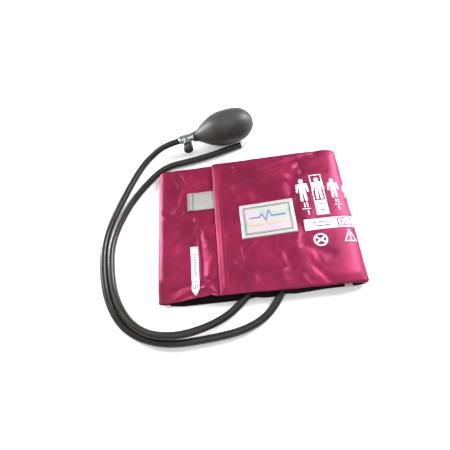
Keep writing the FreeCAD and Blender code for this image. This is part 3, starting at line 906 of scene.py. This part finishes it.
def make_closure(name, node, slot_name, body, place, pitch, depth):
    """Hook or loop strip sewn on a flap: a backing with rows of small raised tufts."""
    low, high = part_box(node)
    low, high = low / MM, high / MM
    rows = steps(low.y, high.y, pitch)
    columns = steps(low.x, high.x, pitch)
    vertices, uvs = [], []
    for row, y in enumerate(rows):
        for column, x in enumerate(columns):
            edge = min(x - low.x, high.x - x, y - low.y, high.y - y)
            tuft = (1.0 if (row + column) % 2 else 0.35) if edge > 2.2 else 0.15
            vertices.append(place(x, y, depth * tuft) * MM)
            uvs.append((x * MM, y * MM))
    piece = mesh_piece(name, vertices, grid_faces(len(rows), len(columns), depth < 0), uvs)
    thicken(piece, 0.1)
    set_material(piece, slot_name)
    stand_for(piece, body, node)


# Flat things that lie on the flaps

def outline_box(x0, x1, y0, y1):
    """Rectangle."""
    return [(x0, y0), (x1, y0), (x1, y1), (x0, y1)]


def frame_outlines(x0, x1, y0, y1, line):
    """Outer and inner outline of a rectangular frame with lines of a width."""
    return outline_box(x0, x1, y0, y1), outline_box(x0 + line, x1 - line, y0 + line, y1 - line)


def outline_ellipse(centre_x, centre_y, radius_x, radius_y=None, count=28):
    """Ellipse, or circle if only one radius is given."""
    radius_y = radius_y or radius_x
    angles = [2 * math.pi * index / count for index in range(count)]
    return [(centre_x + radius_x * math.cos(angle), centre_y + radius_y * math.sin(angle))
            for angle in angles]


def outline_bar(start, end, width):
    """Straight bar with round ends."""
    along = Vector(end) - Vector(start)
    turn = math.atan2(along.y, along.x)
    points = []
    for centre, offset in ((end, -90), (start, 90)):
        for index in range(7):
            angle = turn + math.radians(offset + 30 * index)
            points.append((centre[0] + width / 2 * math.cos(angle),
                           centre[1] + width / 2 * math.sin(angle)))
    return points


def flat_shape(outlines, rings=(), cut=2.0):
    """Flat triangulated mesh of filled outlines and of rings, cut finely enough to follow a curve."""
    shape = bmesh.new()
    for outline in outlines:
        face = shape.faces.new([shape.verts.new((x, y, 0)) for x, y in outline])
        edges = zip(outline, outline[1:] + outline[:1])
        if sum(x0 * y1 - x1 * y0 for (x0, y0), (x1, y1) in edges) < 0:
            face.normal_flip()
    for outer, inner in rings:
        outer_ring = [shape.verts.new((x, y, 0)) for x, y in outer]
        inner_ring = [shape.verts.new((x, y, 0)) for x, y in inner]
        for index in range(len(outer)):
            after = (index + 1) % len(outer)
            shape.faces.new((outer_ring[index], outer_ring[after], inner_ring[after], inner_ring[index]))
    xs = [vertex.co.x for vertex in shape.verts]
    ys = [vertex.co.y for vertex in shape.verts]
    for axis, values in ((Vector((1, 0, 0)), xs), (Vector((0, 1, 0)), ys)):
        for place in steps(min(values), max(values), cut)[1:-1]:
            everything = shape.verts[:] + shape.edges[:] + shape.faces[:]
            bmesh.ops.bisect_plane(shape, geom=everything, plane_co=axis * place, plane_no=axis, dist=1e-5)
    return shape


def lay_on(name, shape, place, thickness, slot_name, lift, body=None, node=None):
    """Lay a flat shape on a sheet: place(x, y, lift) gives each point its place.

    The piece rides on the body if there is one, in place of the CAD node if there is one.
    """
    uv = shape.loops.layers.uv.new("UVMap")
    for face in shape.faces:
        face.smooth = True
        for loop in face.loops:
            loop[uv].uv = (loop.vert.co.x * MM, loop.vert.co.y * MM)
    for vertex in shape.verts:
        vertex.co = place(vertex.co.x, vertex.co.y, lift) * MM
    shape.normal_update()
    piece = mesh_piece(name, [], [])
    shape.to_mesh(piece.data)
    shape.free()
    thicken(piece, thickness, outward=True)
    set_material(piece, slot_name)
    if body:
        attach(piece, body)
    if node:
        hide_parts(node)
    return piece


def on_outer(x, y, lift):
    """Place on the outer flap of print that is x from the cuff's middle, measured along the cloth."""
    return outer_surface.place(x - OUTER_EDGE_X - 1.0, y, lift)


def under_outer(x, y, lift):
    """Place under the outer flap, on its lining."""
    return outer_surface.place(x - OUTER_EDGE_X - 1.0, y, lift - LINING_DEPTH - 0.05)


def on_inner(x, y, lift):
    """Place on the inner flap."""
    return inner_surface.place(INNER_EDGE_X - x, y, lift)


def figure_outlines(centre_x, foot_y, height):
    """Plain standing figure: head, body, two arms and two legs."""
    unit = height / 10
    body = [(-1.45, 7.9), (-1.3, 6.6), (-1.1, 5.4), (-1.2, 3.9), (1.2, 3.9), (1.1, 5.4), (1.3, 6.6),
            (1.45, 7.9)]
    outlines = [outline_ellipse(centre_x, foot_y + 9.05 * unit, 0.85 * unit, 1.0 * unit)]
    outlines.append([(centre_x + x * unit, foot_y + y * unit) for x, y in body])
    leg, arm = (0.68, 4.0, 0.15, 0.4, 0.95), (1.75, 7.5, 0.35, 4.3, 0.72)
    for side in (-1, 1):
        for near_x, near_y, out, far_y, width in (leg, arm):
            limb_x = centre_x + side * near_x * unit
            outlines.append(outline_bar((limb_x, foot_y + near_y * unit),
                                        (limb_x + side * out * unit, foot_y + far_y * unit), width * unit))
    return outlines


# Size chart, in millimetres along the outer flap's cloth: figures as middle, feet and height, strokes as
# start, end and width, boxes as x and y ranges, frames as a box with its line
CHART_FIGURES = [(61.2, 14, 30), (79.0, 15, 29), (95.6, 15.0, 25.5), (110.5, 16, 18)]
CHART_STROKES = [
    ((60.5, 11.5), (60.7, 6.5), 1.1), ((63.6, 11.5), (63.8, 6.5), 1.1), ((63.2, 1.5), (63.4, -3.5), 1.2),
    ((95.6, 12.4), (95.8, 8.4), 1.0), ((98.2, 12.4), (98.4, 8.4), 1.0), ((97.2, 3.2), (97.4, -1.2), 1.1),
    ((110, 9.6), (113.5, 9.6), 1.0), ((110, 5.6), (113.5, 5.6), 1.0), ((101.4, -35.2), (101.4, -31.6), 1.1),
    ((66.0, -37.8), (74.0, -32.2), 1.7), ((66.0, -32.2), (74.0, -37.8), 1.7),
]
CHART_BOXES = [(57.5, 66.5, 3.6, 4.3), (93, 101, 5.4, 6.0), (72.0, 85.4, -5.2, 12.4),
               (56, 90.2, -22.5, -9.6)]
CHART_FRAMES = [(72.0, 85.4, 12.4, 48.4, 0.9), (90.2, 103.4, -22.5, -9.6, 1.1),
                (103.4, 117.0, -22.5, -9.6, 1.1)]
CHART_TRIANGLE = ([(101.4, -25.6), (94.2, -39.8), (108.2, -39.8)],
                  [(101.4, -28.2), (95.9, -38.8), (106.6, -38.8)])
CHART_GREY_STROKES = [((66, -13.8), (81, -13.8), 1.5), ((67, -18.4), (83, -18.4), 1.5),
                      ((77.2, 9.0), (80.6, 9.0), 1.6), ((78.6, 0.6), (80.4, 0.6), 2.2)]
CHART_BAND_STROKES = [((94.0, -19.4), (94.0, -12.6), 2.2), ((97.4, -19.4), (97.4, -12.6), 1.6),
                      ((100.2, -19.4), (100.2, -12.6), 1.6)]


def make_size_chart():
    """White print of the outer flap: figures, the marked size, a band of boxes and two round marks."""
    solid = [outline for figure in CHART_FIGURES for outline in figure_outlines(*figure)]
    solid += [outline_bar(*stroke) for stroke in CHART_STROKES]
    solid += [outline_box(*box) for box in CHART_BOXES]
    solid += [outline_ellipse(109.2, -16.0, 4.0, 4.4), outline_ellipse(101.4, -37.2, 0.7, count=12)]
    rings = [frame_outlines(*box) for box in CHART_FRAMES]
    rings += [(outline_ellipse(70, -35, 7.5), outline_ellipse(70, -35, 6.0)), CHART_TRIANGLE]
    piece = lay_on("size_chart_print", flat_shape(solid, rings), on_outer, 0.08, "white_print", 0.03)
    turn_with(piece)
    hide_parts("size_chart")
    grey = [outline_bar(*stroke) for stroke in CHART_GREY_STROKES] + [outline_box(75.4, 83.0, 4.6, 5.1)]
    lay_on("size_chart_ink", flat_shape(grey), on_outer, 0.06, "grey_print", 0.12, "outer_flap")
    band = flat_shape([outline_bar(*stroke) for stroke in CHART_BAND_STROKES])
    lay_on("size_chart_strokes", band, on_outer, 0.06, "white_print", 0.05, "outer_flap")


def on_label(x, y, lift):
    """Place on the label, from its middle. The label is sewn on a little askew."""
    return on_outer(LABEL_CENTRE[0] + x + 0.3, LABEL_CENTRE[1] + y + 0.035 * x, lift)


def make_label():
    """Woven satin label with a pale margin, a dark inner line and a plain pulse mark."""
    half_x, half_y = LABEL_LENGTH / 2, LABEL_WIDTH / 2

    def on_patch(x, y, lift):
        """Place on the label, which is a little crowned."""
        crown = 0.25 * smooth_step(min(half_x - abs(x), half_y - abs(y)) / 2.5)
        return on_label(x, y, lift + crown)

    patch = flat_shape([outline_box(-half_x, half_x, -half_y, half_y)], cut=1.8)
    lay_on("label_patch", patch, on_patch, 0.22, "label_satin", 0.05, "outer_flap", "label")
    rings = [frame_outlines(inset - half_x, half_x - inset, inset - half_y, half_y - inset, line)
             for inset, line in ((4.0, 1.0), (5.7, 0.4))]
    lay_on("label_border", flat_shape([], rings), on_label, 0.06, "grey_print", 0.5, "outer_flap")
    pulse = [(-20, 3), (-9, 3), (-6, 7), (-2, -2), (2, 11), (5, 3), (20, 3)]
    lines = flat_shape([outline_bar(start, end, 1.5) for start, end in zip(pulse, pulse[1:])])
    lay_on("label_pulse", lines, on_label, 0.08, "label_print", 0.5, "outer_flap", "label_motif")
    bars = flat_shape([outline_bar((-20, -6), (-6, -6), 1.8), outline_bar((-2, -6), (18, -6), 1.4)])
    under = lay_on("label_bars", bars, on_label, 0.08, "label_print", 0.5, "outer_flap")
    under.data.materials[0] = materials["orange_print"]


def make_hem_stitches():
    """Row of lock stitches along the outer flap's hem, each a short arched thread of six sides."""
    sides = 6
    vertices, faces, uvs = [], [], []
    y = -82.0
    while y < 82.0:
        first = len(vertices)
        spans = steps(y, y + 2.6, 0.43)
        for index, span_y in enumerate(spans):
            arch = 0.28 * math.sin(math.pi * index / (len(spans) - 1))
            middle = on_outer(-33.0, span_y, arch - 0.05)
            for turn in range(sides):
                angle = 2 * math.pi * turn / sides
                vertices.append((middle + Vector((0.26 * math.cos(angle), 0, 0.2 * math.sin(angle)))) * MM)
                uvs.append((turn * 0.0001, span_y * MM))
        for ring in range(first, len(vertices) - sides, sides):
            for turn in range(sides):
                after = (turn + 1) % sides
                faces.append((ring + turn, ring + turn + sides, ring + after + sides, ring + after))
        faces.append(tuple(range(first, first + sides)))
        faces.append(tuple(range(len(vertices) - 1, len(vertices) - 1 - sides, -1)))
        y += 4.0
    piece = mesh_piece("hem_thread", vertices, faces, uvs)
    set_material(piece, "burgundy_thread")
    stand_for(piece, "outer_flap", "hem_stitching")


def make_strap():
    """Grey webbing that the gauge hooks on, doubled at its free end and sewn across."""
    x0, x1 = STRAP_X
    y0, y1 = STRAP_Y

    def on_strap(x, y, lift):
        """Place on the ribbed webbing, with its doubled end and its seam."""
        rib = 0.1 * math.sin(2 * math.pi * (y - y0) / 2.6)
        doubled = 0.75 * (1 - smooth_step((x - x0 - 5.2) / 1.2))
        seam = -0.3 * math.exp(-((x - x0 - 6.4) / 0.5) ** 2)
        edge = smooth_step(min(y - y0, y1 - y) / 0.8)
        turned = math.sqrt(max(0.0, 1 - max(0.0, (x0 + 0.7 - x) / 0.7) ** 2))
        return on_inner(x, y, lift + (0.45 + doubled + seam + rib) * (0.4 + 0.6 * edge) * turned)

    web = flat_shape([outline_box(x0, x1, y0, y1)], cut=0.65)
    lay_on("gauge_strap_web", web, on_strap, 0.2, "grey_webbing", 0.1, "inner_flap", "gauge_strap")
    stitches = [outline_bar((seam_x, y), (seam_x, y + 2.2), 0.7) for seam_x in (x0 + 1.6, x0 + 6.4)
                for y in steps(y0 + 1.4, y1 - 3.4, 2.8)]
    lay_on("gauge_strap_thread", flat_shape(stitches), on_strap, 0.18, "grey_print", 0.42, "inner_flap")


def make_tag():
    """White pointed tag with plain bars and a ring near its tip."""
    left, right = TAG_CENTRE_X - TAG_WIDTH / 2, TAG_CENTRE_X + TAG_WIDTH / 2
    outline = [(left, TAG_BACK_Y), (left, TAG_SHOULDER_Y), (TAG_CENTRE_X, TAG_TIP_Y),
               (right, TAG_SHOULDER_Y), (right, TAG_BACK_Y)]
    patch = flat_shape([outline])
    lay_on("artery_tag_patch", patch, on_inner, 0.25, "white_label", 0.08, "inner_flap", "artery_tag")
    bars = []
    for index, y in enumerate(steps(-60.5, -32.5, 2.0)):
        reach = 1.5 if index % 3 else 0.9
        bars.append(outline_bar((TAG_CENTRE_X - reach, y), (TAG_CENTRE_X + reach, y + 0.5), 1.0))
    bars.append(outline_box(left + 0.9, right - 0.9, -66.6, -65.8))
    bars.append(outline_bar((TAG_CENTRE_X, -73.4), (TAG_CENTRE_X, -70.6), 0.9))
    ring = (outline_ellipse(TAG_CENTRE_X, -72, 2.9), outline_ellipse(TAG_CENTRE_X, -72, 2.1))
    marks = flat_shape(bars, [ring])
    lay_on("artery_tag_mark", marks, on_inner, 0.06, "grey_print", 0.46, "inner_flap", "artery_mark")


# Tubes, bulb and valve

def on_bulb_axis(station):
    """Point on the axis of the valve and bulb, from the bulb's neck towards its tail."""
    heading = math.radians(BULB_HEADING)
    tilt = math.radians(BULB_TILT)
    along = Vector((math.cos(tilt) * math.cos(heading), math.cos(tilt) * math.sin(heading), math.sin(tilt)))
    return NECK + along * station


def make_tube(name, node, route):
    """Rubber tube on one smooth line through its route."""
    data = bpy.data.curves.new(name, "CURVE")
    data.dimensions = "3D"
    data.bevel_depth = TUBE_RADIUS * MM
    data.bevel_resolution = 7
    data.resolution_u = 14
    data.use_fill_caps = True
    spline = data.splines.new("NURBS")
    spline.points.add(len(route) - 1)
    for point, place in zip(spline.points, route):
        point.co = (*(Vector(place) * MM), 1.0)
    spline.order_u = 3
    spline.use_endpoint_u = True
    tube = bpy.data.objects.new(name, data)
    bpy.context.scene.collection.objects.link(tube)
    set_material(tube, "tube_rubber")
    stand_for(tube, "cuff_base", node)
    return tube


def make_tubes():
    """Tube to the gauge, which ends in its connector, and tube to the valve."""
    gauge = make_tube("gauge_tube_skin", "gauge_tube", GAUGE_ROUTE)
    bulb_route = BULB_ROUTE + [on_bulb_axis(-2 * VALVE_LENGTH), on_bulb_axis(-VALVE_LENGTH)]
    bulb = make_tube("bulb_tube_skin", "bulb_tube", bulb_route)


def curve_through(points, count):
    """Smooth line through points, as short steps."""
    result = []
    for index in range(len(points) - 1):
        before = Vector(points[max(index - 1, 0)])
        start, end = Vector(points[index]), Vector(points[index + 1])
        after = Vector(points[min(index + 2, len(points) - 1)])
        for step in range(count):
            share = step / count
            result.append(0.5 * (2 * start + (end - before) * share
                                 + (2 * before - 5 * start + 4 * end - after) * share ** 2
                                 + (3 * start - 3 * end - before + after) * share ** 3))
    result.append(Vector(points[-1]))
    return result


# Bulb's outline as station along its axis and radius: rolled neck first, then the body to its tail cup
BULB_NECK = [(1.0, 5.05), (0.0, 5.3), (0.0, 6.0), (0.4, 6.4), (1.2, 6.5)]
BULB_BODY = [(2.2, 6.6), (4.4, 7.2), (8.0, 9.0), (13, 12.5), (20, 16.7), (28, 20.0), (36, 21.7), (43, 22.0),
             (50, 21.9), (57, 21.1), (63, 19.6), (68, 17.3), (72, 14.2), (75, 10.9), (77, 7.8), (78, 5.6),
             (77.8, 4.4), (76.4, 4.2)]
BULB_TURNS = 72
BULB_WALL = 1.2


def make_bulb():
    """Rubber bulb: rolled neck, egg-shaped body with a moulding line, and tail cup."""
    profile = [Vector(point) for point in BULB_NECK] + curve_through(BULB_BODY, 4)
    heading = math.radians(BULB_HEADING)
    along = on_bulb_axis(1) - NECK
    side = Vector((math.sin(heading), -math.cos(heading), 0))
    up = side.cross(along)
    if up.z < 0:
        up = -up
    vertices, faces = [], []
    for station, radius in profile:
        for index in range(BULB_TURNS):
            angle = 2 * math.pi * index / BULB_TURNS
            seam = 0.16 * math.exp(-(math.sin(angle) / 0.03) ** 2) if station > 6 else 0.0
            rim = radius + seam
            vertices.append((NECK + along * station + side * rim * math.cos(angle)
                             + up * rim * math.sin(angle)) * MM)
    for ring in range(0, (len(profile) - 1) * BULB_TURNS, BULB_TURNS):
        for index in range(BULB_TURNS):
            after = (index + 1) % BULB_TURNS
            faces.append((ring + index, ring + after, ring + BULB_TURNS + after, ring + BULB_TURNS + index))
    piece = mesh_piece("bulb_skin", vertices, faces)
    clean = bmesh.new()
    clean.from_mesh(piece.data)
    bmesh.ops.recalc_face_normals(clean, faces=clean.faces)
    clean.to_mesh(piece.data)
    clean.free()
    thicken(piece, BULB_WALL)
    set_material(piece, "bulb_rubber")
    stand_for(piece, "cuff_base", "bulb")


NODE_SLOTS = {
    "bladder": "bladder_rubber",
    "bladder_port_gauge": "black_rubber",
    "bladder_port_bulb": "black_rubber",
    "gauge_connector": "white_plastic",
    "intake_housing": "black_plastic",
    "intake_retainer": "black_plastic",
    "intake_ball": "steel",
    "check_ball": "steel",
    "valve_body": "chrome",
    "neck_retainer": "brass",
    "knurled_collar": "chrome",
    "spring_clip": "steel",
    "valve_needle": "soft_seat",
    "thumbscrew": "black_plastic",
}


def dress_cad_nodes():
    """Procedural materials on the CAD pieces that stay in view."""
    for name, slot_name in NODE_SLOTS.items():
        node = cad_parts[name]
        for index in range(len(node.material_slots)):
            node.material_slots[index].material = materials[slot_name]
        if not node.material_slots:
            node.data.materials.append(materials[slot_name])


materials = make_materials()
add_camera()
add_studio()
make_tubes()
outer_surface, outer_lining = make_outer_cover()
inner_surface, inner_lining = make_inner_cover()
make_outer_lining(outer_lining)
make_inner_lining(inner_lining)
make_base_cover()
make_base_lining()
make_index_tape()
make_closure("hook_rows", "hook_strip", "hook_tape", "outer_flap", under_outer, 1.0, -0.6)
make_closure("loop_tufts", "loop_panel", "loop_pile", "inner_flap", on_inner, 0.9, 0.55)
make_size_chart()
make_label()
make_hem_stitches()
make_strap()
make_tag()
make_bulb()
dress_cad_nodes()
